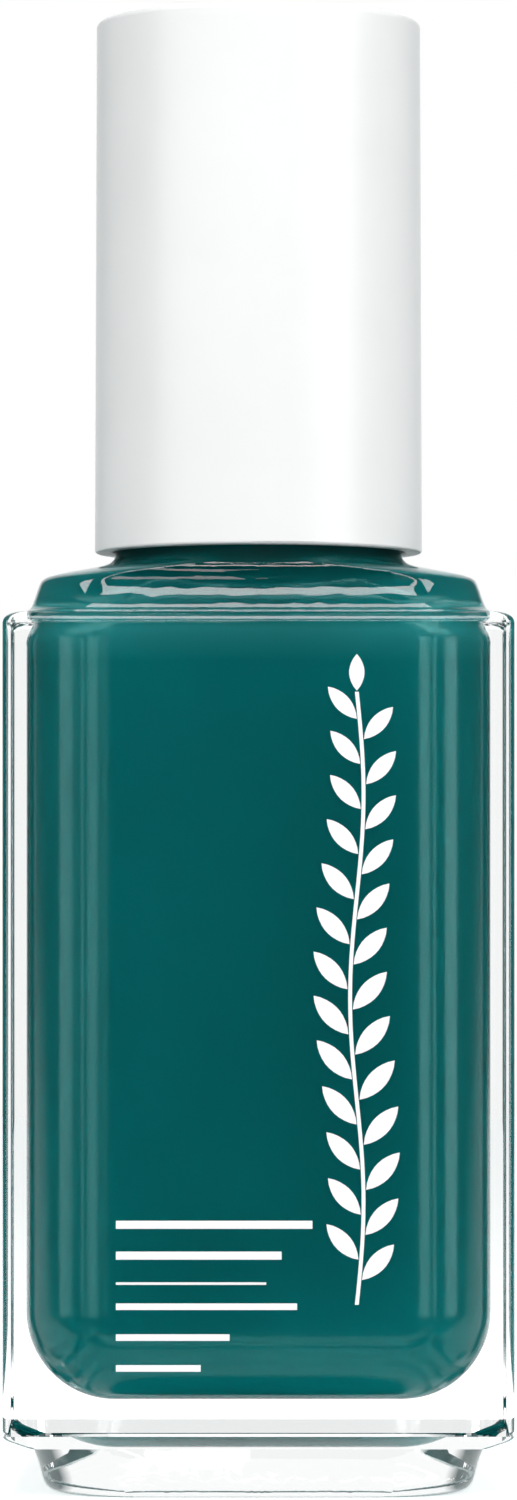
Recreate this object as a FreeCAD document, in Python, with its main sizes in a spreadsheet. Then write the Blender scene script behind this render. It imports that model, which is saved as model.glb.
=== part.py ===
"""Nail polish bottle with a screw-on brush cap, as a FreeCAD document.

The bottle is a shallow rectangular block of clear glass on an inset foot. A stepped shoulder carries a
round neck with a 13-415 screw finish. The cap is a white outer shell pressed over a threaded inner cap,
which holds the brush stem. Millimetres, +Z up, origin at the centre of the bottle's underside.
"""

import FreeCAD, Part
import math
import os

import Sketcher

PARTS_FOLDER = "parts"

# Driving dimensions: alias, value in millimetres (or a plain count), what it is.
SIZES = [
    ("body_half_width", 13.3, "glass body, half its width along X"),
    ("body_half_depth", 9.0, "glass body, half its depth along Y"),
    ("body_corner", 0.45, "radius of the body's upright edges, seen from above"),
    ("foot_height", 2.65, "height of the inset foot under the body"),
    ("foot_inset", 2.7, "how far the foot's underside stands in from the body at the sides"),
    ("foot_inset_deep", 2.4, "how far it stands in at the front and back"),
    ("foot_top_inset", 1.3, "how far the foot's top stands in at the sides"),
    ("foot_top_inset_deep", 1.5, "how far the foot's top stands in at the front and back"),
    ("foot_corner", 4.2, "radius of the foot's corners, seen from above"),
    ("bevel_inset", 1.4, "width of the bevel under the body at the sides"),
    ("bevel_inset_deep", 0.59, "width of that bevel at the front and back"),
    ("bevel_height", 0.7, "height of the bevel under the body"),
    ("shelf_z", 46.2, "top of the body block, where the shoulder steps in"),
    ("shelf_round", 0.6, "height of the rounding along the top of the body block"),
    ("shelf_flat", 0.05, "flat left between that rounding and the shoulder"),
    ("shelf_inset", 0.85, "how far the shoulder's foot stands in from the body at the sides"),
    ("shelf_inset_deep", 0.65, "how far it stands in at the front and back"),
    ("tier_corner", 2.9, "radius of the shoulder's corners at its foot, seen from above"),
    ("collar_z", 49.9, "top of the collar that the round neck stands on"),
    ("collar_half_width", 7.5, "top of the collar, half its width"),
    ("collar_half_depth", 7.4, "top of the collar, half its depth"),
    ("neck_radius", 5.7, "outside radius of the neck under its thread"),
    ("neck_bore", 3.7, "radius of the neck's bore"),
    ("lip_z", 61.2, "top of the glass"),
    ("lip_round", 0.35, "rounding of the lip"),
    ("floor_z", 4.95, "inside floor of the bottle"),
    ("cavity_half_width", 12.2, "inside of the bottle, half its width along X"),
    ("cavity_half_depth", 5.4, "inside of the bottle, half its depth along Y"),
    ("cavity_corner", 4.8, "radius of the inside corners, seen from above"),
    ("cavity_floor_round", 4.6, "rounding between the inside walls and floor"),
    ("cavity_shoulder_z", 44.6, "where the inside walls start to draw in"),
    ("cavity_neck_z", 50.6, "where the inside meets the neck's bore"),
    ("pushup_half_width", 8.6, "recess under the foot, half its width"),
    ("pushup_half_depth", 4.2, "recess under the foot, half its depth"),
    ("pushup_corner", 3.9, "corner radius of the recess under the foot"),
    ("pushup_depth", 0.5, "depth of the recess under the foot"),
    ("label_margin", 0.5, "gap from the recess's wall to the label"),
    ("label_thick", 0.08, "thickness of the base label"),
    ("thread_pitch", 2.117, "lead of the screw thread, 12 threads per inch"),
    ("thread_radius", 6.45, "outside radius of the neck's thread"),
    ("thread_foot_width", 1.1, "width of the neck's thread at the neck"),
    ("thread_tip_width", 0.45, "width of the neck's thread at its tip"),
    ("thread_turns", 1.5, "turns of the neck's thread"),
    ("thread_start_z", 56.4, "middle of the neck's thread at its lower end"),
    ("cap_bottom_z", 49.7, "lower rim of the outer cap"),
    ("cap_top_z", 77.9, "top of the outer cap"),
    ("cap_rim_radius", 8.71, "outside radius of the outer cap at its rim"),
    ("cap_top_radius", 8.61, "outside radius of the outer cap at its top"),
    ("cap_wall", 0.91, "wall of the outer cap around the inner cap"),
    ("cap_upper_wall", 1.5, "wall of the outer cap above the inner cap"),
    ("cap_roof", 1.2, "thickness of the outer cap's top"),
    ("cap_edge", 0.3, "bevel round the outer cap's top"),
    ("cap_bead_z", 50.35, "lower side of the bead that holds the inner cap in"),
    ("cap_bead", 0.22, "height of that bead above the bore"),
    ("cap_bead_slope", 0.12, "slope on each side of the bead"),
    ("cap_rim_edge", 0.15, "rounding of the outer cap's rim"),
    ("inner_bottom_z", 51.0, "lower rim of the inner cap"),
    ("inner_top_z", 63.4, "top of the inner cap, against the outer cap's step"),
    ("inner_radius", 7.4, "outside radius of the inner cap between its ribs"),
    ("inner_bore", 6.65, "inside radius of the inner cap"),
    ("rib_count", 30, "grip ribs round the inner cap"),
    ("rib_width", 0.55, "width of a grip rib"),
    ("rib_gap", 0.02, "gap from a rib to the outer cap's bore"),
    ("nut_tip_radius", 5.95, "inside radius of the inner cap's thread"),
    ("nut_foot_width", 0.95, "width of the inner cap's thread at the wall"),
    ("nut_tip_width", 0.35, "width of the inner cap's thread at its tip"),
    ("nut_turns", 2.4, "turns of the inner cap's thread"),
    ("nut_below", 0.69, "how far the inner cap's thread lies below the neck's"),
    ("boss_radius", 3.2, "outside radius of the socket that holds the stem"),
    ("boss_z", 67.4, "top of that socket"),
    ("shank_z", 67.1, "top of the stem inside its socket"),
    ("liner_thick", 0.9, "thickness of the sealing liner"),
    ("liner_radius", 6.5, "outside radius of the sealing liner"),
    ("liner_hole", 3.1, "radius of the liner's hole"),
    ("shank_radius", 1.9, "radius of the stem inside its socket"),
    ("barb_radius", 2.05, "radius of the barb that holds the stem in"),
    ("barb_z", 65.4, "lower side of the barb"),
    ("barb_height", 1.0, "height of the barb"),
    ("flange_radius", 2.95, "radius of the stem's flange"),
    ("flange_thick", 0.9, "thickness of the stem's flange"),
    ("stem_top_radius", 1.75, "radius of the stem under its flange"),
    ("stem_tip_radius", 1.45, "radius of the stem at its lower end"),
    ("stem_tip_z", 21.0, "lower end of the stem"),
    ("tuft_hole", 0.95, "radius of the hole that the bristles are set in"),
    ("tuft_depth", 3.6, "depth of that hole"),
    ("tuft_tip_z", 7.0, "lowest point of the bristles"),
    ("tuft_half_width", 1.85, "bristles near their ends, half their width"),
    ("tuft_half_depth", 1.0, "bristles near their ends, half their thickness"),
    ("tuft_slant", 2.2, "how much higher the short side of the slanted tip is"),
    ("anchor_half_width", 1.2, "metal anchor that pins the bristles, half its width"),
    ("anchor_thick", 0.3, "thickness of the anchor"),
    ("anchor_height", 1.5, "height of the anchor"),
    ("fill_z", 51.5, "level of the polish, inside the neck"),
    ("brush_clearance_radius", 2.2, "radius that the brush keeps free in the polish"),
    ("brush_clearance_below", 0.4, "how far that free space reaches below the bristles"),
]

document = FreeCAD.newDocument("nail_polish_bottle")


# ---------------------------------------------------------------- spreadsheet and sketch helpers


def fill_sheet():
    """Puts every driving dimension in the sheet, one row each, with its alias."""
    sheet = document.addObject("Spreadsheet::Sheet", "sizes")
    for row, (alias, value, note) in enumerate(SIZES, start=1):
        sheet.set(f"A{row}", note)
        sheet.set(f"B{row}", str(value))
        sheet.setAlias(f"B{row}", alias)
    document.recompute()
    return sheet


sizes = fill_sheet()


def size(alias):
    """A driving dimension as a number."""
    return float(sizes.get(alias))


def number(expression):
    """The value of an expression in the sheet's aliases."""
    return float(sizes.evalExpression(expression))


def new_body(name):
    return document.addObject("PartDesign::Body", name)


def new_sketch(body, name, role="XY_Plane", height=None):
    """A sketch on one of the body's origin planes, raised by an expression if one is given."""
    sketch = body.newObject("Sketcher::SketchObject", name)
    plane = next(f for f in body.Origin.OriginFeatures if f.Role == role)
    sketch.AttachmentSupport = [(plane, "")]
    sketch.MapMode = "FlatFace"
    if height is not None:
        sketch.setExpression("AttachmentOffset.Base.z", height)
    return sketch


def dimension(sketch, constraint, expression):
    """Adds a dimensional constraint and binds it to an expression."""
    index = sketch.addConstraint(constraint)
    sketch.setExpression(f"Constraints[{index}]", expression)


def rounded_rectangle(sketch, half_width, half_depth, corner):
    """Draws a rounded rectangle about the origin; the three sizes are expressions."""
    a, b, r = number(half_width), number(half_depth), number(corner)
    point = FreeCAD.Vector
    sides = [
        Part.LineSegment(point(r - a, -b, 0), point(a - r, -b, 0)),
        Part.LineSegment(point(a, r - b, 0), point(a, b - r, 0)),
        Part.LineSegment(point(a - r, b, 0), point(r - a, b, 0)),
        Part.LineSegment(point(-a, b - r, 0), point(-a, r - b, 0)),
    ]
    centres = [(a - r, r - b, -90), (a - r, b - r, 0), (r - a, b - r, 90), (r - a, r - b, 180)]
    arcs = [
        Part.ArcOfCircle(
            Part.Circle(point(x, y, 0), point(0, 0, 1), r),
            math.radians(start),
            math.radians(start + 90),
        )
        for x, y, start in centres
    ]
    lines = [sketch.addGeometry(side) for side in sides]
    bends = [sketch.addGeometry(arc) for arc in arcs]
    for i in range(4):
        sketch.addConstraint(Sketcher.Constraint("Tangent", lines[i], 2, bends[i], 1))
        sketch.addConstraint(Sketcher.Constraint("Tangent", bends[i], 2, lines[(i + 1) % 4], 1))
    for i in (0, 2):
        sketch.addConstraint(Sketcher.Constraint("Horizontal", lines[i]))
        sketch.addConstraint(Sketcher.Constraint("Vertical", lines[i + 1]))
    for i in (1, 2, 3):
        sketch.addConstraint(Sketcher.Constraint("Equal", bends[0], bends[i]))
    dimension(sketch, Sketcher.Constraint("DistanceY", lines[0], 1, -1, 1, b), half_depth)
    dimension(sketch, Sketcher.Constraint("DistanceX", -1, 1, lines[1], 1, a), half_width)
    dimension(sketch, Sketcher.Constraint("DistanceY", -1, 1, lines[2], 1, b), half_depth)
    dimension(sketch, Sketcher.Constraint("DistanceX", lines[3], 1, -1, 1, a), half_width)
    dimension(sketch, Sketcher.Constraint("Radius", bends[0], r), corner)


def outline(sketch, corners):
    """Draws a closed outline through corners, each a pair of expressions: radius and height."""
    places = [(number(x), number(z)) for x, z in corners]
    count = len(corners)
    for i in range(count):
        start, end = places[i], places[(i + 1) % count]
        sketch.addGeometry(
            Part.LineSegment(FreeCAD.Vector(*start, 0), FreeCAD.Vector(*end, 0))
        )
    for i in range(count):
        sketch.addConstraint(Sketcher.Constraint("Coincident", i, 2, (i + 1) % count, 1))
    for i, (x, z) in enumerate(corners):
        if abs(places[i][0]) < 1e-9:
            sketch.addConstraint(Sketcher.Constraint("PointOnObject", i, 1, -2))
        else:
            dimension(sketch, Sketcher.Constraint("DistanceX", -1, 1, i, 1, places[i][0]), x)
        dimension(sketch, Sketcher.Constraint("DistanceY", -1, 1, i, 1, places[i][1]), z)


def loft(body, name, sections, ruled=True):
    """Adds a loft through rounded rectangles, each (height, half width, half depth, corner)."""
    sketches = []
    for i, (height, half_width, half_depth, corner) in enumerate(sections):
        sketch = new_sketch(body, f"{name}_section_{i}", height=height)
        rounded_rectangle(sketch, half_width, half_depth, corner)
        sketches.append(sketch)
    feature = body.newObject("PartDesign::AdditiveLoft", name)
    feature.Profile = (sketches[0], [""])
    feature.Sections = [(sketch, [""]) for sketch in sketches[1:]]
    feature.Ruled = ruled
    document.recompute()
    return feature


def turned(name, corners):
    """A body of revolution about Z from one closed outline."""
    body = new_body(name)
    add_turned(body, name + "_turned", corners)
    return body


def add_turned(body, name, corners, kind="PartDesign::Revolution"):
    sketch = new_sketch(body, name + "_outline", role="XZ_Plane")
    outline(sketch, corners)
    feature = body.newObject(kind, name)
    feature.Profile = (sketch, [""])
    feature.ReferenceAxis = (sketch, ["V_Axis"])
    feature.Angle = 360.0
    document.recompute()
    return feature


def edges_at(shape, height):
    """Names of the edges that lie level at a height."""
    names = []
    for i, edge in enumerate(shape.Edges, start=1):
        box = edge.BoundBox
        if abs(box.ZMin - height) < 1e-4 and abs(box.ZMax - height) < 1e-4:
            names.append(f"Edge{i}")
    return names


def fillet(body, name, base, edges, radius):
    """Rounds edges of the body's last feature; the radius is an expression."""
    feature = body.newObject("PartDesign::Fillet", name)
    feature.Base = (base, edges)
    feature.setExpression("Radius", radius)
    document.recompute()
    return feature


def boolean(kind, name, base, tool):
    feature = document.addObject(kind, name)
    feature.Base = base
    feature.Tool = tool
    document.recompute()
    return feature


# ---------------------------------------------------------------- glass bottle


def foot(body):
    """The inset foot: rounded where it meets the ground and a little wider where it meets the body."""
    half_width, half_depth = "sizes.body_half_width", "sizes.body_half_depth"
    sections = [
        (
            f"sizes.foot_height * {share_up}",
            between(f"{half_width} - sizes.foot_inset", f"{half_width} - sizes.foot_top_inset", side),
            between(
                f"{half_depth} - sizes.foot_inset_deep",
                f"{half_depth} - sizes.foot_top_inset_deep",
                front,
            ),
            "sizes.foot_corner",
        )
        for share_up, side, front in FOOT_SECTIONS
    ]
    loft(body, "foot", sections, ruled=False)


def block(body):
    """The main block over its rounded bevel, with its upper edge rounded."""
    half_width, half_depth = "sizes.body_half_width", "sizes.body_half_depth"
    loft(
        body,
        "bevel",
        [
            (
                f"sizes.foot_height + sizes.bevel_height * {share_up}",
                f"{half_width} - sizes.bevel_inset * {side_in}",
                f"{half_depth} - sizes.bevel_inset_deep * {front_in}",
                "sizes.body_corner",
            )
            for share_up, side_in, front_in in BEVEL_SECTIONS
        ],
        ruled=False,
    )
    plan = new_sketch(
        body, "block_outline", height="sizes.foot_height + sizes.bevel_height"
    )
    rounded_rectangle(plan, half_width, half_depth, "sizes.body_corner")
    pad = body.newObject("PartDesign::Pad", "block")
    pad.Profile = plan
    pad.setExpression(
        "Length", "sizes.shelf_z - sizes.shelf_round - sizes.foot_height - sizes.bevel_height"
    )
    document.recompute()
    sections = [
        (
            f"sizes.shelf_z - sizes.shelf_round + sizes.shelf_round * {share_up}",
            f"{half_width} - (sizes.shelf_inset - sizes.shelf_flat) * {share_in}",
            f"{half_depth} - (sizes.shelf_inset_deep - sizes.shelf_flat) * {share_in}",
            "sizes.body_corner",
        )
        for share_up, share_in in SHELF_SECTIONS
    ]
    loft(body, "block_rounding", sections, ruled=False)


def shoulder(body):
    """The stepped shoulder that draws in from the top of the block to the neck's collar."""
    side = "sizes.body_half_width - sizes.shelf_inset"
    front = "sizes.body_half_depth - sizes.shelf_inset_deep"
    sections = [
        (
            f"sizes.shelf_z + (sizes.collar_z - sizes.shelf_z) * {share_up}",
            between(side, "sizes.collar_half_width", side_in),
            between(front, "sizes.collar_half_depth", front_in),
            between("sizes.tier_corner", "sizes.collar_half_depth - 0.05", side_in),
        )
        for share_up, side_in, front_in in SHOULDER_SECTIONS
    ]
    loft(body, "shoulder", sections, ruled=False)


def between(first, last, share):
    """An expression for the value a share of the way from one expression to another."""
    return f"({first}) + (({last}) - ({first})) * {share}"


# Sections of the foot, from the ground up: share of its height, then share of the way from its
# underside's outline to its top's, at the sides and at the front and back.
FOOT_SECTIONS = [
    (0.0, 0.0, 0.0),
    (0.04, 0.21, 0.30),
    (0.11, 0.39, 0.53),
    (0.25, 0.54, 0.72),
    (0.50, 0.67, 0.81),
    (0.70, 0.79, 0.87),
    (1.0, 1.0, 1.0),
]

# Sections of the bevel: share of its height, share of its inset at the sides, which are rounded,
# and at the front and back, which are flat.
BEVEL_SECTIONS = [
    (0.0, 1.0, 1.0),
    (0.33, 0.54, 0.67),
    (0.52, 0.28, 0.48),
    (0.75, 0.07, 0.25),
    (1.0, 0.0, 0.0),
]

# Sections of the rounding along the top of the block: share of its height, share of its width.
SHELF_SECTIONS = [(0.0, 0.0), (0.25, 0.035), (0.5, 0.14), (0.75, 0.38), (0.92, 0.7), (1.0, 1.0)]

# Sections of the shoulder, from the block to the collar under the neck: share of its height,
# share of the way in at the sides, share of the way in at the front and back. It flares up from
# the block, leans in as a tier's wall, slopes in at the sides and turns up into the round collar.
SHOULDER_SECTIONS = [
    (0.0, 0.0, 0.0),
    (0.054, 0.067, 0.189),
    (0.108, 0.103, 0.295),
    (0.162, 0.121, 0.358),
    (0.27, 0.147, 0.463),
    (0.405, 0.18, 0.579),
    (0.486, 0.208, 0.621),
    (0.541, 0.263, 0.637),
    (0.581, 0.349, 0.647),
    (0.622, 0.465, 0.663),
    (0.662, 0.596, 0.695),
    (0.703, 0.727, 0.747),
    (0.743, 0.838, 0.832),
    (0.784, 0.907, 0.905),
    (0.838, 0.954, 0.958),
    (0.919, 0.984, 0.984),
    (1, 1, 1),
]

# Sections of the bottle's inside, from its walls to the neck's bore, in the same shares.
HOLLOW_SECTIONS = [
    (0.0, 0.0),
    (0.13, 0.02),
    (0.26, 0.07),
    (0.38, 0.14),
    (0.48, 0.235),
    (0.58, 0.36),
    (0.67, 0.52),
    (0.77, 0.75),
    (0.88, 0.93),
    (1.0, 1.0),
]


def glass_outside():
    """The bottle's outer form, with the plain neck and the recess under the foot."""
    body = new_body("glass_outside")
    foot(body)
    block(body)
    shoulder(body)
    neck = "sizes.neck_radius"
    add_turned(
        body,
        "neck",
        [
            ("0", "sizes.shelf_z"),
            (neck, "sizes.shelf_z"),
            (neck, "sizes.lip_z - sizes.lip_round"),
            (neck + " - sizes.lip_round", "sizes.lip_z"),
            ("0", "sizes.lip_z"),
        ],
    )
    recess_plan = new_sketch(body, "recess_outline")
    rounded_rectangle(
        recess_plan, "sizes.pushup_half_width", "sizes.pushup_half_depth", "sizes.pushup_corner"
    )
    recess = body.newObject("PartDesign::Pocket", "recess")
    recess.Profile = recess_plan
    recess.Reversed = True
    recess.setExpression("Length", "sizes.pushup_depth")
    document.recompute()
    return body


def glass_hollow():
    """The space inside the bottle: walls, rounded floor, shoulder and the neck's bore."""
    body = new_body("glass_hollow")
    half_width, half_depth = "sizes.cavity_half_width", "sizes.cavity_half_depth"
    plan = new_sketch(body, "hollow_outline", height="sizes.floor_z")
    rounded_rectangle(plan, half_width, half_depth, "sizes.cavity_corner")
    pad = body.newObject("PartDesign::Pad", "hollow_walls")
    pad.Profile = plan
    pad.setExpression("Length", "sizes.cavity_shoulder_z - sizes.floor_z")
    document.recompute()
    floor_edges = edges_at(pad.Shape, size("floor_z"))
    fillet(body, "hollow_floor", pad, floor_edges, "sizes.cavity_floor_round")
    rise = "(sizes.cavity_neck_z - sizes.cavity_shoulder_z)"
    sections = [
        (
            f"sizes.cavity_shoulder_z + {rise} * {share_up}",
            between(half_width, "sizes.neck_bore", share_in),
            between(half_depth, "sizes.neck_bore", share_in),
            between("sizes.cavity_corner", "sizes.neck_bore - 0.01", share_in),
        )
        for share_up, share_in in HOLLOW_SECTIONS
    ]
    loft(body, "hollow_shoulder", sections, ruled=False)
    add_turned(
        body,
        "bore",
        [
            ("0", "sizes.cavity_neck_z - 0.5"),
            ("sizes.neck_bore - 0.01", "sizes.cavity_neck_z - 0.5"),
            ("sizes.neck_bore - 0.01", "sizes.lip_z + 1"),
            ("0", "sizes.lip_z + 1"),
        ],
    )
    return body


def screw_ridge(name, corners, start_z, turns):
    """A screw thread's ridge: corners are radius and height from the ridge's middle."""
    helix = document.addObject("Part::Helix", name + "_helix")
    helix.setExpression("Pitch", "sizes.thread_pitch")
    helix.setExpression("Height", f"sizes.thread_pitch * {turns}")
    helix.Radius = number(corners[0][0])
    helix.setExpression("Placement.Base.z", start_z)
    profile = document.addObject("Sketcher::SketchObject", name + "_profile")
    profile.Placement = FreeCAD.Placement(
        FreeCAD.Vector(0, 0, 0), FreeCAD.Rotation(FreeCAD.Vector(1, 0, 0), 90)
    )
    profile.setExpression("Placement.Base.z", start_z)
    outline(profile, corners)
    document.recompute()
    ridge = document.addObject("Part::Sweep", name)
    ridge.Sections = [profile]
    ridge.Spine = (helix, [f"Edge{i + 1}" for i in range(len(helix.Shape.Edges))])
    ridge.Solid = True
    ridge.Frenet = True
    document.recompute()
    return ridge


def ridge_corners(foot_radius, tip_radius, foot_width, tip_width, sink):
    """Corners of a ridge's section, sunk a little into the wall it stands on."""
    return [
        (f"{foot_radius} + {sink}", f"-{foot_width} / 2"),
        (foot_radius, f"-{foot_width} / 2"),
        (tip_radius, f"-{tip_width} / 2"),
        (tip_radius, f"{tip_width} / 2"),
        (foot_radius, f"{foot_width} / 2"),
        (f"{foot_radius} + {sink}", f"{foot_width} / 2"),
    ]


def glass_bottle():
    """The whole glass: outer form and thread, less the space inside."""
    neck_thread = screw_ridge(
        "neck_thread",
        ridge_corners(
            "sizes.neck_radius",
            "sizes.thread_radius",
            "sizes.thread_foot_width",
            "sizes.thread_tip_width",
            "-0.3",
        ),
        "sizes.thread_start_z",
        "sizes.thread_turns",
    )
    threaded = boolean("Part::Fuse", "glass_threaded", glass_outside(), neck_thread)
    return boolean("Part::Cut", "glass_bottle", threaded, hollow)


# ---------------------------------------------------------------- what the bottle holds and wears


def polish():
    """The polish, up to its level in the neck, with a free channel for the brush."""
    level = document.addObject("Part::Cylinder", "polish_level")
    level.setExpression("Radius", "sizes.body_half_width * 2")
    level.setExpression("Height", "sizes.fill_z")
    filled = boolean("Part::Common", "polish_filled", hollow, level)
    channel = document.addObject("Part::Cylinder", "brush_channel")
    channel_floor = "sizes.tuft_tip_z - sizes.brush_clearance_below"
    channel.setExpression("Radius", "sizes.brush_clearance_radius")
    channel.setExpression("Height", f"sizes.lip_z - ({channel_floor})")
    channel.setExpression("Placement.Base.z", channel_floor)
    return boolean("Part::Cut", "polish", filled, channel)


def base_label():
    """A thin label stuck to the top of the recess under the foot."""
    body = new_body("base_label")
    plan = new_sketch(body, "label_outline", height="sizes.pushup_depth - sizes.label_thick")
    rounded_rectangle(
        plan,
        "sizes.pushup_half_width - sizes.label_margin",
        "sizes.pushup_half_depth - sizes.label_margin",
        "sizes.pushup_corner - sizes.label_margin",
    )
    pad = body.newObject("PartDesign::Pad", "label_sheet")
    pad.Profile = plan
    pad.setExpression("Length", "sizes.label_thick")
    document.recompute()
    return body


def sealing_liner():
    """A flat washer between the glass lip and the roof of the inner cap."""
    top = "sizes.lip_z + sizes.liner_thick"
    return turned(
        "sealing_liner",
        [
            ("sizes.liner_hole", "sizes.lip_z"),
            ("sizes.liner_radius", "sizes.lip_z"),
            ("sizes.liner_radius", top),
            ("sizes.liner_hole", top),
        ],
    )


# ---------------------------------------------------------------- cap


def overcap():
    """The white outer shell, thicker above the inner cap, with a bead that holds the inner cap."""
    bore = "sizes.cap_rim_radius - sizes.cap_wall"
    bead = bore + " - sizes.cap_bead"
    upper_bore = "sizes.cap_top_radius - sizes.cap_upper_wall"
    body = turned(
        "overcap",
        [
            (bore, "sizes.cap_bottom_z"),
            ("sizes.cap_rim_radius", "sizes.cap_bottom_z"),
            ("sizes.cap_top_radius", "sizes.cap_top_z"),
            ("0", "sizes.cap_top_z"),
            ("0", "sizes.cap_top_z - sizes.cap_roof"),
            (upper_bore, "sizes.cap_top_z - sizes.cap_roof"),
            (upper_bore, "sizes.inner_top_z"),
            (bore, "sizes.inner_top_z"),
            (bore, "sizes.inner_bottom_z"),
            (bead, "sizes.inner_bottom_z - sizes.cap_bead_slope"),
            (bead, "sizes.cap_bead_z + sizes.cap_bead_slope"),
            (bore, "sizes.cap_bead_z"),
        ],
    )
    shell = body.Tip
    top_edge = edges_at(shell.Shape, size("cap_top_z"))
    fillet(body, "cap_top_rounding", shell, top_edge, "sizes.cap_edge")
    rim_edges = edges_at(body.Tip.Shape, size("cap_bottom_z"))
    fillet(body, "cap_rim_rounding", body.Tip, rim_edges, "sizes.cap_rim_edge")
    return body


def inner_cap():
    """The threaded cap inside the shell, with grip ribs outside and a socket for the stem."""
    roof_z = "sizes.lip_z + sizes.liner_thick"
    body = turned(
        "inner_cap_body",
        [
            ("sizes.inner_bore", "sizes.inner_bottom_z"),
            ("sizes.inner_radius", "sizes.inner_bottom_z"),
            ("sizes.inner_radius", "sizes.inner_top_z"),
            ("sizes.boss_radius", "sizes.inner_top_z"),
            ("sizes.boss_radius", "sizes.boss_z"),
            ("sizes.shank_radius", "sizes.boss_z"),
            ("sizes.shank_radius", "sizes.barb_z + sizes.barb_height"),
            ("sizes.barb_radius", "sizes.barb_z"),
            ("sizes.shank_radius", "sizes.barb_z"),
            ("sizes.shank_radius", roof_z),
            ("sizes.inner_bore", roof_z),
        ],
    )
    rib_plan = new_sketch(body, "rib_outline", height="sizes.inner_bottom_z")
    rib_reach = "sizes.cap_rim_radius - sizes.cap_wall - sizes.rib_gap"
    outline(
        rib_plan,
        [
            ("sizes.inner_radius - 0.2", "-sizes.rib_width / 2"),
            (rib_reach, "-sizes.rib_width / 2"),
            (rib_reach, "sizes.rib_width / 2"),
            ("sizes.inner_radius - 0.2", "sizes.rib_width / 2"),
        ],
    )
    rib = body.newObject("PartDesign::Pad", "rib")
    rib.Profile = rib_plan
    rib.setExpression("Length", "sizes.inner_top_z - sizes.inner_bottom_z")
    document.recompute()
    ribs = body.newObject("PartDesign::PolarPattern", "ribs")
    ribs.Originals = [rib]
    ribs.Axis = (rib_plan, ["N_Axis"])
    ribs.Angle = 360.0
    ribs.setExpression("Occurrences", "sizes.rib_count")
    body.Tip = ribs
    document.recompute()
    nut_thread = screw_ridge(
        "nut_thread",
        ridge_corners(
            "sizes.inner_bore",
            "sizes.nut_tip_radius",
            "sizes.nut_foot_width",
            "sizes.nut_tip_width",
            "0.3",
        ),
        "sizes.thread_start_z - sizes.nut_below - sizes.thread_pitch",
        "sizes.nut_turns",
    )
    return boolean("Part::Fuse", "inner_cap", body, nut_thread)


# ---------------------------------------------------------------- brush


def tuft_anchor():
    """A small metal plate across the stem's hole that pins the folded bristles."""
    plate = document.addObject("Part::Box", "tuft_anchor")
    plate.setExpression("Length", "sizes.anchor_half_width * 2")
    plate.setExpression("Width", "sizes.anchor_thick")
    plate.setExpression("Height", "sizes.anchor_height")
    plate.setExpression("Placement.Base.x", "-sizes.anchor_half_width")
    plate.setExpression("Placement.Base.y", "-sizes.anchor_thick / 2")
    plate.setExpression("Placement.Base.z", "sizes.stem_tip_z + sizes.anchor_height / 2")
    document.recompute()
    return plate


def brush_stem(anchor):
    """The stem: a barbed shank, a flange against the inner cap's roof, and a tapered rod."""
    flange_top = "sizes.lip_z + sizes.liner_thick"
    flange_foot = flange_top + " - sizes.flange_thick"
    rod = turned(
        "stem_rod",
        [
            ("0", "sizes.shank_z"),
            ("0", "sizes.stem_tip_z + sizes.tuft_depth"),
            ("sizes.tuft_hole", "sizes.stem_tip_z + sizes.tuft_depth"),
            ("sizes.tuft_hole", "sizes.stem_tip_z"),
            ("sizes.stem_tip_radius", "sizes.stem_tip_z"),
            ("sizes.stem_top_radius", flange_foot),
            ("sizes.flange_radius", flange_foot),
            ("sizes.flange_radius", flange_top),
            ("sizes.shank_radius", flange_top),
            ("sizes.shank_radius", "sizes.barb_z"),
            ("sizes.barb_radius", "sizes.barb_z"),
            ("sizes.shank_radius", "sizes.barb_z + sizes.barb_height"),
            ("sizes.shank_radius", "sizes.shank_z"),
        ],
    )
    return boolean("Part::Cut", "brush_stem", rod, anchor)


def bristle_tuft(anchor):
    """The bristles as one solid: round in the stem's hole, flat and wide below, cut on a slant."""
    body = new_body("tuft_body")
    hole = "sizes.tuft_hole"
    wide, deep = "sizes.tuft_half_width", "sizes.tuft_half_depth"
    length = "(sizes.stem_tip_z - sizes.tuft_tip_z)"
    round_corner = hole + " - 0.01"
    add_turned(
        body,
        "tuft_root",
        [
            ("0", "sizes.stem_tip_z - 0.1"),
            (hole, "sizes.stem_tip_z - 0.1"),
            (hole, "sizes.stem_tip_z + sizes.tuft_depth"),
            ("0", "sizes.stem_tip_z + sizes.tuft_depth"),
        ],
    )
    loft(
        body,
        "tuft_spread",
        [
            ("sizes.stem_tip_z", hole, hole, round_corner),
            (
                f"sizes.stem_tip_z - {length} * 0.35",
                between(hole, wide, 0.6),
                between(hole, deep, 0.6),
                round_corner,
            ),
            (f"sizes.stem_tip_z - {length} * 0.7", wide, deep, round_corner),
            ("sizes.tuft_tip_z", wide + " * 0.96", deep + " * 0.8", deep + " * 0.75"),
        ],
        ruled=False,
    )
    slant_outline = new_sketch(body, "slant_outline", role="XZ_Plane")
    reach = wide + " * 1.2"
    outline(
        slant_outline,
        [
            (f"-({reach})", "sizes.tuft_tip_z"),
            (f"-({reach})", "sizes.tuft_tip_z - 1"),
            (reach, "sizes.tuft_tip_z - 1"),
            (reach, "sizes.tuft_tip_z + sizes.tuft_slant"),
        ],
    )
    slant = body.newObject("PartDesign::Pocket", "slant")
    slant.Profile = slant_outline
    slant.Midplane = True
    slant.setExpression("Length", deep + " * 3")
    document.recompute()
    return boolean("Part::Cut", "bristle_tuft", body, anchor)


# ---------------------------------------------------------------- check and export


def check_document():
    """Stops if any feature failed, so that nothing half-made is written."""
    for item in document.Objects:
        if "Invalid" in item.State or "Error" in item.State:
            raise RuntimeError(f"{item.Name} failed: {item.State}")


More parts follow.
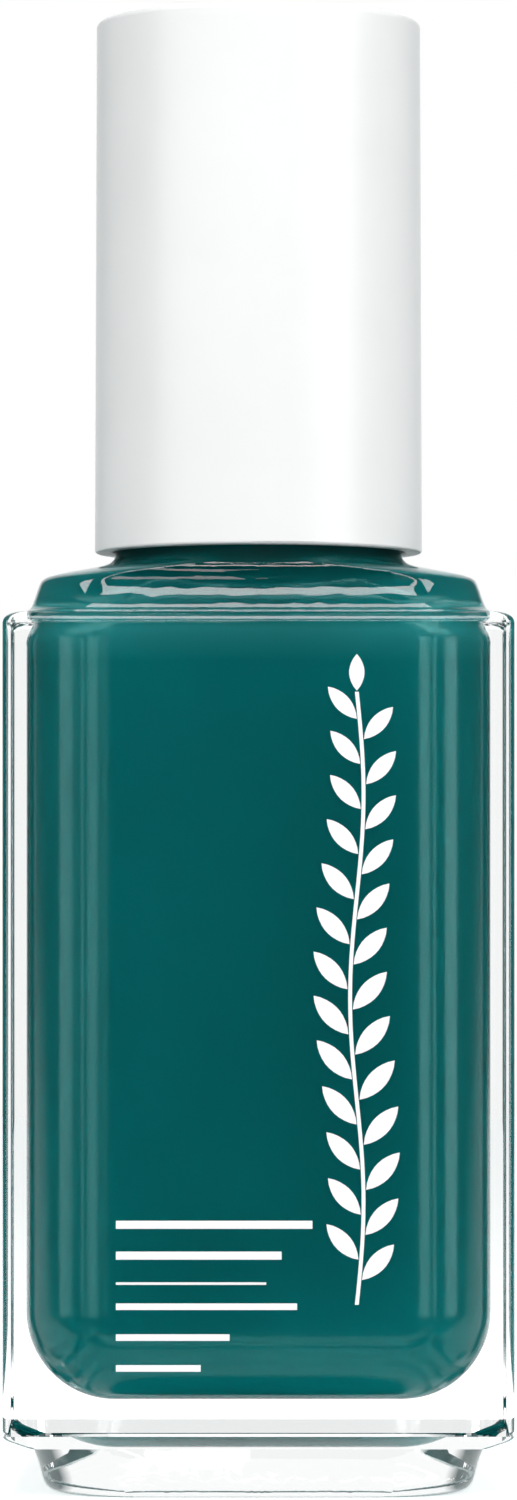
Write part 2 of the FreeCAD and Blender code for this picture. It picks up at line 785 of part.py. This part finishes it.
def export(pieces):
    """Writes one STEP file for each piece."""
    for piece in pieces:
        shape = piece.Shape
        if shape.isNull() or not shape.isValid() or len(shape.Solids) != 1:
            raise RuntimeError(f"{piece.Label} is not one valid solid")
    os.makedirs(PARTS_FOLDER, exist_ok=True)
    for piece in pieces:
        piece.Shape.exportStep(f"{PARTS_FOLDER}/{piece.Label}.step")
        print(f"{piece.Label}: {piece.Shape.Volume:.1f} mm3")


hollow = glass_hollow()
anchor = tuft_anchor()
pieces = [
    glass_bottle(),
    polish(),
    base_label(),
    sealing_liner(),
    overcap(),
    inner_cap(),
    brush_stem(anchor),
    anchor,
    bristle_tuft(anchor),
]
document.recompute()
check_document()
export(pieces)
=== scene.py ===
"""Looks of the nail polish bottle: materials, printed ornament, bristles, studio light and camera."""

import math
import random

import bmesh
import bpy
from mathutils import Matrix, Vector


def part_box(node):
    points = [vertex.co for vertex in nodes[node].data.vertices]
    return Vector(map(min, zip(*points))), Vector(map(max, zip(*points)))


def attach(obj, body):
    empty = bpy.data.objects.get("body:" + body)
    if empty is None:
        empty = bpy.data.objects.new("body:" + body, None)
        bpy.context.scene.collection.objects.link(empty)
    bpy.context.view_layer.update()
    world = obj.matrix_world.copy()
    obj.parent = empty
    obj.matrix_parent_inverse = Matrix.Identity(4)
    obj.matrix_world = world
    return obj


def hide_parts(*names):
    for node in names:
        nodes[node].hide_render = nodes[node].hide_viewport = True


MM = 0.001

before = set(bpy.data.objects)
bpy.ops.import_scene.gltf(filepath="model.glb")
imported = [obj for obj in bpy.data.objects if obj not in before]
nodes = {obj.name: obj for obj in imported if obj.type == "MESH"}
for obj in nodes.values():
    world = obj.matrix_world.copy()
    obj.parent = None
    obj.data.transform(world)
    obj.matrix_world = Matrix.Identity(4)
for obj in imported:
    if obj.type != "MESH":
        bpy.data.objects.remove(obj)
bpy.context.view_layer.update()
glass_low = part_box("glass_bottle")[0]
polish_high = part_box("polish")[1]
stem_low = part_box("brush_stem")[0]
tuft_low, tuft_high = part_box("bristle_tuft")


# ---------------------------------------------------------------- node helpers


def new_material(name):
    """A material with its principled shader, and the tree's nodes to build on."""
    material = bpy.data.materials.new(name)
    material.use_nodes = True
    shader = material.node_tree.nodes["Principled BSDF"]
    return material, material.node_tree, shader


def add_node(tree, kind, **sockets):
    """A node with some of its sockets set; underscores in a socket's name stand for spaces."""
    node = tree.nodes.new(kind)
    for name, value in sockets.items():
        node.inputs[name.replace("_", " ")].default_value = value
    return node


def coordinate(tree, system, axis):
    """One axis of a coordinate system: a place on an object, or a ray's direction in the world."""
    place = tree.nodes.new("ShaderNodeTexCoord")
    split = tree.nodes.new("ShaderNodeSeparateXYZ")
    tree.links.new(place.outputs[system], split.inputs["Vector"])
    return split.outputs[axis]


def math_node(tree, operation, *values):
    """The result of a math operation on one or two outputs."""
    node = tree.nodes.new("ShaderNodeMath")
    node.operation = operation
    for value, socket in zip(values, node.inputs):
        tree.links.new(value, socket)
    return node.outputs["Value"]


def mapped(tree, value, **limits):
    """A value mapped from one range to another, 0 to 1 where a range isn't given."""
    node = add_node(tree, "ShaderNodeMapRange", **limits)
    tree.links.new(value, node.inputs["Value"])
    return node.outputs["Result"]


def noise(tree, scale, detail=2.0, stretch=(1, 1, 1)):
    """Noise in the frame's own coordinates; scale is in waves per metre."""
    place = tree.nodes.new("ShaderNodeTexCoord")
    mapping = add_node(tree, "ShaderNodeMapping", Scale=stretch)
    texture = add_node(tree, "ShaderNodeTexNoise", Scale=scale, Detail=detail)
    tree.links.new(place.outputs["Object"], mapping.inputs["Vector"])
    tree.links.new(mapping.outputs["Vector"], texture.inputs["Vector"])
    return texture.outputs["Fac"]


def ramp(tree, factor, stops):
    """A colour ramp; each stop is a place and a colour or a grey value."""
    node = tree.nodes.new("ShaderNodeValToRGB")
    elements = node.color_ramp.elements
    while len(elements) < len(stops):
        elements.new(0.5)
    for element, (place, colour) in zip(elements, stops):
        element.position = place
        if isinstance(colour, (int, float)):
            colour = (colour, colour, colour)
        element.color = (*colour, 1.0)
    tree.links.new(factor, node.inputs["Fac"])
    return node.outputs["Color"]


def bump(tree, shader, height, strength, distance):
    """Raises the surface by a height pattern; distance is in metres."""
    node = add_node(tree, "ShaderNodeBump", Strength=strength, Distance=distance)
    tree.links.new(height, node.inputs["Height"])
    tree.links.new(node.outputs["Normal"], shader.inputs["Normal"])


def spread(tree, shader, socket, factor, low, high):
    """Drives a number socket from a pattern, from low to high."""
    tree.links.new(mapped(tree, factor, To_Min=low, To_Max=high), shader.inputs[socket])


def height_mask(tree, level, softness, waver, wave_scale):
    """1 below a height in the frame, 0 above it, with an uneven edge; lengths are in metres."""
    edge = mapped(tree, noise(tree, wave_scale), To_Min=level - waver, To_Max=level + waver)
    gap = math_node(tree, "SUBTRACT", edge, coordinate(tree, "Object", "Z"))
    return mapped(tree, gap, From_Min=-softness, From_Max=softness)


def mixed(tree, factor, low, high):
    """Colour low where the factor is 0, and high where it is 1; each is a colour or an output."""
    node = tree.nodes.new("ShaderNodeMix")
    node.data_type = "RGBA"
    tree.links.new(factor, node.inputs["Factor"])
    colour_a, colour_b, colour_result = node.inputs[6], node.inputs[7], node.outputs[2]
    for socket, colour in ((colour_a, low), (colour_b, high)):
        if isinstance(colour, tuple):
            socket.default_value = (*colour, 1.0)
        else:
            tree.links.new(colour, socket)
    return colour_result


# ---------------------------------------------------------------- materials

TEAL = (0.0015, 0.182, 0.185)
TEAL_DEEP = (0.0012, 0.167, 0.170)
# A paler teal that paints the highlight of light off the polish's shoulder.
TEAL_HIGHLIGHT = (0.020, 0.270, 0.275)

# Heights in the frame: the middle of the polish's painted highlight band, and where its gloss fades out
# downwards.
HIGHLIGHT_BAND_Z = 45.0 * MM
UNDERSIDE_Z = 6.5 * MM


def clear_glass():
    """Clear soda glass with the faint waviness of a moulded bottle."""
    material, tree, shader = new_material("clear_glass")
    shader.inputs["Transmission Weight"].default_value = 1.0
    shader.inputs["IOR"].default_value = 1.51
    shader.inputs["Roughness"].default_value = 0.0
    tint = ramp(tree, noise(tree, 60), [(0.3, (0.97, 0.985, 0.982)), (0.7, (0.98, 0.99, 0.988))])
    tree.links.new(tint, shader.inputs["Base Color"])
    bump(tree, shader, noise(tree, 90, detail=1.0), strength=0.012, distance=0.3 * MM)
    return material


def teal_polish():
    """Opaque cream lacquer: a slight drift of colour, a painted highlight as a paler band under the
    shelf, no gloss underneath.
    """
    material, tree, shader = new_material("teal_polish")
    drift = noise(tree, 120, detail=3.0, stretch=(1, 1, 0.5))
    settled = ramp(tree, drift, [(0.3, TEAL_DEEP), (0.7, TEAL)])
    # Painted highlight: a paler band just under the shelf stands in for light off the polish's shoulder.
    below_highlight_band = height_mask(
        tree, HIGHLIGHT_BAND_Z, softness=1.3 * MM, waver=0.15 * MM, wave_scale=150
    )
    painted_highlight = ramp(tree, below_highlight_band, [(0.0, 0.0), (0.35, 1.0), (1.0, 0.0)])
    tree.links.new(mixed(tree, painted_highlight, settled, TEAL_HIGHLIGHT), shader.inputs["Base Color"])
    spread(tree, shader, "Roughness", drift, 0.14, 0.17)
    underside = height_mask(tree, UNDERSIDE_Z, softness=2.0 * MM, waver=0.3 * MM, wave_scale=200)
    spread(tree, shader, "Specular IOR Level", underside, 0.40, 0.0)
    shader.inputs["Specular Tint"].default_value = (0.5, 1.0, 1.0, 1.0)
    return material


def satin_plastic(name, colour, roughness):
    """Moulded plastic with a fine satin grain."""
    material, tree, shader = new_material(name)
    darker = tuple(c * 0.97 for c in colour)
    patches = noise(tree, 150, detail=3.0)
    tree.links.new(
        ramp(tree, patches, [(0.3, darker), (0.7, colour)]), shader.inputs["Base Color"]
    )
    spread(tree, shader, "Roughness", patches, roughness - 0.03, roughness + 0.03)
    bump(tree, shader, noise(tree, 9000), strength=0.25, distance=0.004 * MM)
    return material, tree, shader


def wetted_plastic():
    """The stem: pale plastic, coated with a glossy film of polish where it stands in it."""
    material, tree, shader = satin_plastic("stem_plastic", (0.78, 0.78, 0.76), 0.4)
    wet = height_mask(
        tree, polish_high.z - 1.5 * MM, softness=0.15 * MM, waver=0.5 * MM, wave_scale=900
    )
    plain = shader.inputs["Base Color"].links[0].from_socket
    tree.links.new(mixed(tree, wet, plain, TEAL), shader.inputs["Base Color"])
    spread(tree, shader, "Roughness", wet, 0.4, 0.12)
    return material


def bristle_nylon():
    """Black nylon filaments, coated with polish except near the stem."""
    material, tree, shader = new_material("bristle_nylon")
    wet = height_mask(
        tree, stem_low.z - 1.5 * MM, softness=1.2 * MM, waver=1.2 * MM, wave_scale=1500
    )
    streaks = noise(tree, 3000, stretch=(1, 1, 0.08))
    black = ramp(tree, streaks, [(0.3, (0.012, 0.012, 0.013)), (0.7, (0.035, 0.035, 0.037))])
    coat = ramp(tree, streaks, [(0.3, TEAL_DEEP), (0.7, TEAL)])
    tree.links.new(mixed(tree, wet, black, coat), shader.inputs["Base Color"])
    spread(tree, shader, "Roughness", streaks, 0.22, 0.4)
    return material


def anchor_brass():
    """Stamped brass, lightly scratched along its rolling direction."""
    material, tree, shader = new_material("anchor_metal")
    scratches = noise(tree, 9000, detail=4.0, stretch=(0.1, 1, 1))
    tree.links.new(
        ramp(tree, scratches, [(0.3, (0.55, 0.40, 0.18)), (0.7, (0.72, 0.56, 0.28))]),
        shader.inputs["Base Color"],
    )
    shader.inputs["Metallic"].default_value = 1.0
    spread(tree, shader, "Roughness", scratches, 0.25, 0.45)
    return material


def liner_foam():
    """Soft off-white foam with fine closed cells."""
    material, tree, shader = new_material("liner_foam")
    cells = noise(tree, 6000, detail=3.0)
    tree.links.new(
        ramp(tree, cells, [(0.3, (0.70, 0.70, 0.67)), (0.7, (0.82, 0.82, 0.79))]),
        shader.inputs["Base Color"],
    )
    shader.inputs["Roughness"].default_value = 0.85
    bump(tree, shader, cells, strength=0.5, distance=0.02 * MM)
    return material


def label_paper():
    """White coated paper with a faint fibre pattern."""
    material, tree, shader = new_material("label_paper")
    fibres = noise(tree, 4000, detail=5.0, stretch=(0.3, 1, 1))
    tree.links.new(
        ramp(tree, fibres, [(0.3, (0.74, 0.74, 0.72)), (0.7, (0.84, 0.84, 0.82))]),
        shader.inputs["Base Color"],
    )
    shader.inputs["Roughness"].default_value = 0.6
    bump(tree, shader, fibres, strength=0.2, distance=0.01 * MM)
    return material


def white_ink():
    """Thick white screen-printed ink."""
    material, tree, shader = new_material("white_ink")
    speckle = noise(tree, 5000, detail=3.0)
    tree.links.new(
        ramp(tree, speckle, [(0.3, (0.91, 0.92, 0.92)), (0.7, (0.97, 0.97, 0.97))]),
        shader.inputs["Base Color"],
    )
    shader.inputs["Roughness"].default_value = 0.45
    bump(tree, shader, speckle, strength=0.2, distance=0.006 * MM)
    return material


def set_material(piece, material):
    """Gives a piece one material, in place of any it had."""
    piece.data.materials.clear()
    piece.data.materials.append(material)


polish_finish = teal_polish()
ink = white_ink()
bristle_finish = bristle_nylon()

for node_name, finish in (
    ("glass_bottle", clear_glass()),
    ("overcap", satin_plastic("white_shell", (0.83, 0.83, 0.83), 0.34)[0]),
    ("inner_cap", satin_plastic("inner_plastic", (0.78, 0.78, 0.77), 0.45)[0]),
    ("brush_stem", wetted_plastic()),
    ("tuft_anchor", anchor_brass()),
    ("sealing_liner", liner_foam()),
    ("base_label", label_paper()),
):
    set_material(nodes[node_name], finish)


# ---------------------------------------------------------------- pieces


def link_piece(name, mesh, material, body):
    """Puts a mesh in the scene as a piece that rides on a body."""
    piece = bpy.data.objects.new(name, mesh)
    bpy.context.scene.collection.objects.link(piece)
    set_material(piece, material)
    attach(piece, body)
    return piece


def lacquer():
    """The polish, wetted to the glass: its skin lies a hair inside the glass, so no gap shows."""
    wetting = 0.03 * MM
    mesh = nodes["polish"].data.copy()
    mesh.name = "lacquer"
    build = bmesh.new()
    build.from_mesh(mesh)
    bmesh.ops.remove_doubles(build, verts=build.verts, dist=0.001 * MM)
    build.normal_update()
    for vertex in build.verts:
        vertex.co += vertex.normal * wetting
    build.to_mesh(mesh)
    build.free()
    mesh.shade_smooth()
    piece = link_piece("lacquer", mesh, polish_finish, "bottle")
    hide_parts("polish")


def filaments():
    """Bristles: round filaments from the stem's hole, fanned out flat and cut on a slant."""
    draw = random.Random(7)
    count, sides, steps = 340, 5, 9
    radius = 0.042 * MM
    root_radius = 0.86 * MM
    tuft_half_width = (tuft_high.x - tuft_low.x) / 2 - 0.1 * MM
    tuft_half_depth = (tuft_high.y - tuft_low.y) / 2 - 0.08 * MM
    root_z, mouth_z = tuft_high.z - 0.3 * MM, stem_low.z
    tip_z, slant = tuft_low.z + 0.25 * MM, 1.9 * MM
    build = bmesh.new()
    for _ in range(count):
        turn = draw.uniform(0, 2 * math.pi)
        out = math.sqrt(draw.random())
        across, deep = out * math.cos(turn), out * math.sin(turn)
        end_x, end_y = across * tuft_half_width, deep * tuft_half_depth
        end_z = tip_z + slant * (0.5 + 0.5 * across) + draw.uniform(0, 0.25) * MM
        sway = draw.uniform(-0.06, 0.06) * MM
        rings = []
        for step in range(steps + 1):
            share = step / steps
            z = root_z + (end_z - root_z) * share
            free = max(0.0, (mouth_z - z) / (mouth_z - end_z))
            # The bundle widens fast just below the hole's mouth, and then more slowly.
            fan = free ** 0.75 * (1.08 - 0.08 * free)
            x = across * root_radius * (1 - fan) + end_x * fan + sway * math.sin(math.pi * free)
            y = deep * root_radius * (1 - fan) + end_y * fan
            # Each filament thins near its tip.
            taper = radius * (1 - 0.45 * free ** 6)
            rings.append(
                [
                    build.verts.new(
                        (
                            x + taper * math.cos(2 * math.pi * side / sides),
                            y + taper * math.sin(2 * math.pi * side / sides),
                            z,
                        )
                    )
                    for side in range(sides)
                ]
            )
        for upper, lower in zip(rings, rings[1:]):
            for side in range(sides):
                after = (side + 1) % sides
                build.faces.new((upper[side], lower[side], lower[after], upper[after]))
        build.faces.new(rings[0])
        build.faces.new(tuple(reversed(rings[-1])))
    bmesh.ops.recalc_face_normals(build, faces=build.faces)
    mesh = bpy.data.meshes.new("bristle_filaments")
    build.to_mesh(mesh)
    build.free()
    mesh.shade_smooth()
    piece = link_piece("bristle_filaments", mesh, bristle_finish, "cap")
    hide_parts("bristle_tuft")


def printed(name, outlines):
    """Ink on the front of the glass: each outline is a list of (x, z) points, in metres."""
    thick = 0.02 * MM
    front = glass_low.y
    build = bmesh.new()
    for points in outlines:
        back = [build.verts.new((x, front, z)) for x, z in points]
        face = [build.verts.new((x, front - thick, z)) for x, z in points]
        build.faces.new(face)
        build.faces.new(tuple(reversed(back)))
        for i in range(len(points)):
            j = (i + 1) % len(points)
            build.faces.new((face[i], back[i], back[j], face[j]))
    bmesh.ops.recalc_face_normals(build, faces=build.faces)
    mesh = bpy.data.meshes.new(name)
    build.to_mesh(mesh)
    build.free()
    link_piece(name, mesh, ink, "bottle")


def leaf(x, z, angle, length, width):
    """A pointed leaf that starts at a place and grows along an angle from the upright."""
    points = 9
    edge = []
    for i in range(points + 1):
        share = i / points
        edge.append((length * share, width / 2 * math.sin(math.pi * share) ** 0.8))
    edge += [(along, -out) for along, out in reversed(edge[1:-1])]
    rise, lean = math.cos(angle), math.sin(angle)
    return [(x + along * lean + out * rise, z + along * rise - out * lean) for along, out in edge]


def sprig():
    """The upright ornament: a gently waving stalk with leaves on both sides."""
    middle_x, low_z, high_z = 5.1 * MM, 10.2 * MM, 42.0 * MM
    pairs, swing, stalk_width = 13, 0.35 * MM, 0.2 * MM
    leaf_length, leaf_width, leaf_angle = 2.75 * MM, 1.0 * MM, math.radians(42)
    half_waves, segments = 3, 60
    # Shares of the step between pairs: the first leaf's start, the left leaf's lift, the gap at the top.
    first, stagger, top_gap = 0.55, 0.45, 0.6

    def stalk_x(z):
        return middle_x + swing * math.sin((z - low_z) / (high_z - low_z) * half_waves * math.pi)

    levels = [low_z + (high_z - low_z) * i / segments for i in range(segments + 1)]
    left = [(stalk_x(z) - stalk_width / 2, z) for z in levels]
    right = [(stalk_x(z) + stalk_width / 2, z) for z in reversed(levels)]
    outlines = [left + right]
    step = (high_z - low_z) / (pairs + top_gap)
    for i in range(pairs):
        z = low_z + step * (first + i)
        # The largest leaves are about a third of the way up.
        size = 1.0 - 0.28 * abs(i / (pairs - 1) - 0.35)
        for side, shift in ((1, 0.0), (-1, stagger)):
            base_z = z + shift * step
            start_x = stalk_x(base_z) + side * (stalk_width / 2 + 0.04 * MM)
            outlines.append(
                leaf(start_x, base_z, side * leaf_angle, leaf_length * size, leaf_width * size)
            )
    outlines.append(leaf(stalk_x(high_z), high_z + 0.06 * MM, 0.0, 1.9 * MM, 0.8 * MM))
    printed("printed_sprig", outlines)


def rules():
    """The plain lines low on the left of the front: one thin rule and short bars above and below."""
    left = -7.4 * MM
    # Height of its middle, length and thickness of each line, in millimetres.
    bars = [
        (14.35, 10.2, 0.42),
        (12.75, 8.6, 0.42),
        (11.3, 7.8, 0.13),
        (10.1, 9.4, 0.34),
        (8.5, 5.9, 0.34),
        (6.9, 4.4, 0.34),
    ]
    outlines = []
    for z, length, width in bars:
        low, high = (z - width / 2) * MM, (z + width / 2) * MM
        right = left + length * MM
        outlines.append([(left, low), (right, low), (right, high), (left, high)])
    printed("printed_rules", outlines)


lacquer()
filaments()
sprig()
rules()


# ---------------------------------------------------------------- studio

OBJECT_MIDDLE = Vector((0.0, 0.0, 0.04))
WHITE = (1.0, 1.0, 1.0)
DIM_TEAL = (0.10, 0.13, 0.13)
NEAR_BLACK = (0.01, 0.01, 0.01)


def floor():
    """A plain pale floor under and behind the object, lit from within, more so far away."""
    reach, front_edge = 0.35, 0.014
    bpy.ops.mesh.primitive_circle_add(
        vertices=128, radius=reach, fill_type="NGON", location=(0.0, reach - front_edge, 0.0)
    )
    ground = bpy.context.object
    ground.name = "floor"
    material, tree, shader = new_material("floor_paper")
    tree.links.new(
        ramp(tree, noise(tree, 40), [(0.3, 0.86), (0.7, 0.88)]), shader.inputs["Base Color"]
    )
    shader.inputs["Roughness"].default_value = 0.9
    shader.inputs["Emission Color"].default_value = (*WHITE, 1.0)
    far = mapped(tree, coordinate(tree, "Object", "Y"), From_Min=-0.6 * reach, From_Max=reach)
    spread(tree, shader, "Emission Strength", far, 0.58, 0.74)
    set_material(ground, material)


def softbox(name, azimuth, elevation, distance, size, power):
    """A rectangular light that faces the object. Azimuth is degrees to the right of the front.

    Distance and size are in metres, and power is in watts.
    """
    data = bpy.data.lights.new(name, "AREA")
    data.shape = "RECTANGLE"
    data.size, data.size_y = size
    data.energy = power
    around, up = math.radians(azimuth), math.radians(elevation)
    away = Vector(
        (math.sin(around) * math.cos(up), -math.cos(around) * math.cos(up), math.sin(up))
    )
    lamp = bpy.data.objects.new(name, data)
    lamp.location = OBJECT_MIDDLE + away * distance
    lamp.rotation_mode = "QUATERNION"
    lamp.rotation_quaternion = away.to_track_quat("Z", "Y")
    bpy.context.scene.collection.objects.link(lamp)


def studio_walls():
    """A white wall behind the object, dim at the sides, dark behind the camera; the camera sees white."""
    world = bpy.data.worlds.new("studio")
    bpy.context.scene.world = world
    world.use_nodes = True
    tree = world.node_tree
    background = tree.nodes["Background"]
    across = coordinate(tree, "Generated", "X")
    back = coordinate(tree, "Generated", "Y")
    near_middle = ramp(tree, math_node(tree, "ABSOLUTE", across), [(0.32, 1.0), (0.46, 0.0)])
    behind = mapped(tree, back, From_Min=0.55, From_Max=0.75)
    wall = math_node(tree, "MULTIPLY", near_middle, behind)
    out_of_the_dark = mapped(tree, back, From_Min=-0.8, From_Max=-0.4)
    room = mixed(tree, out_of_the_dark, NEAR_BLACK, DIM_TEAL)
    walls = mixed(tree, wall, room, WHITE)
    rays = tree.nodes.new("ShaderNodeLightPath")
    seen = mixed(tree, rays.outputs["Is Camera Ray"], walls, WHITE)
    tree.links.new(seen, background.inputs["Color"])
    background.inputs["Strength"].default_value = 1.0


def camera():
    """A level camera in front of the bottle, at a little over a third of its height."""
    distance, eye_height = 341 * MM, 29.54 * MM
    data = bpy.data.cameras.new("camera")
    data.sensor_fit = "AUTO"
    data.sensor_width = 36.0
    data.lens = 153.6
    data.shift_y = 0.1213
    data.clip_start, data.clip_end = 0.01, 20.0
    view = bpy.data.objects.new("camera", data)
    view.location = (0.0, -distance, eye_height)
    view.rotation_euler = (math.radians(90), 0.0, 0.0)
    bpy.context.scene.collection.objects.link(view)
    bpy.context.scene.camera = view


floor()
studio_walls()
for light in (
    ("wall_strip", 4, 29, 0.50, (0.80, 0.034), 0.75),
    ("high_strip", 0, 59, 0.50, (0.16, 0.30), 1.2),
    ("low_strip", -20, 17, 0.50, (0.345, 0.035), 0.15),
    ("corner_left", -46, 40, 0.50, (0.14, 0.06), 0.22),
    ("corner_right", 46, 38, 0.50, (0.26, 0.07), 0.48),
    ("side_right", 56, 9, 0.45, (0.24, 0.34), 1.00),
    ("side_left", -56, 9, 0.45, (0.27, 0.34), 0.80),
    ("fill_left", -27, 4, 0.45, (0.12, 0.20), 0.07),
):
    softbox(*light)
camera()
bpy.context.scene.view_settings.view_transform = "Standard"
